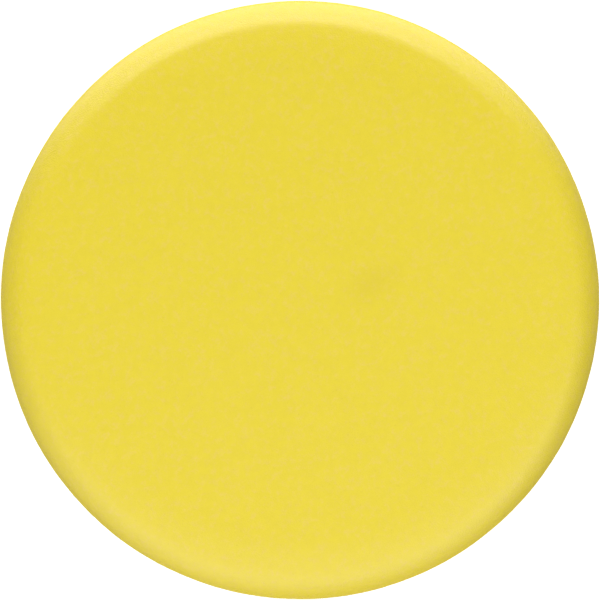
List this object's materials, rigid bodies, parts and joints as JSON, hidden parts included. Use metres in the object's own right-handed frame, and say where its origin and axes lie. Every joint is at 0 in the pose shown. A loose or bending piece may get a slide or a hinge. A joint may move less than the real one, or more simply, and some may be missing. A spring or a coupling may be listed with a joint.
{
  "type": "polishing pad",
  "caption": "Round foam polishing pad with a softly rounded shoulder and a hook-and-loop back, for a rotary or orbital car polisher.",
  "frame": {"origin": "centre of the loop face, at the bottom of the pad as it lies with its working face up", "axes": "+Z along the spin axis, from the loop face to the working face; the pad is round, so +X and +Y are any two square directions in its plane"},
  "size_m": [0.15, 0.15, 0.028],
  "materials": {
    "foam": "yellow open-cell polyurethane foam with very fine cells, matt with a soft sheen at low angles",
    "loop_yarn": "off-white nylon loop yarn, slightly lustrous",
    "loop_backing": "off-white knitted ground with a resin back coat, matt",
    "hot_melt": "honey-coloured hot-melt adhesive, satin and slightly cloudy"
  },
  "bodies": {
    "backing": {"loop_pile": "loop_yarn", "loop_ground": "loop_backing", "bond_film": "hot_melt", "foam_core": "foam"},
    "face": {"foam_face": "foam"}
  },
  "joints": [
    {"name": "foam_press", "type": "slide", "parent": "backing", "child": "face", "axis": [0, 0, -1], "range_m": [0, 0.01], "stiffness_N_per_m": 9500, "deforming": ["foam_core"]}
  ]
}
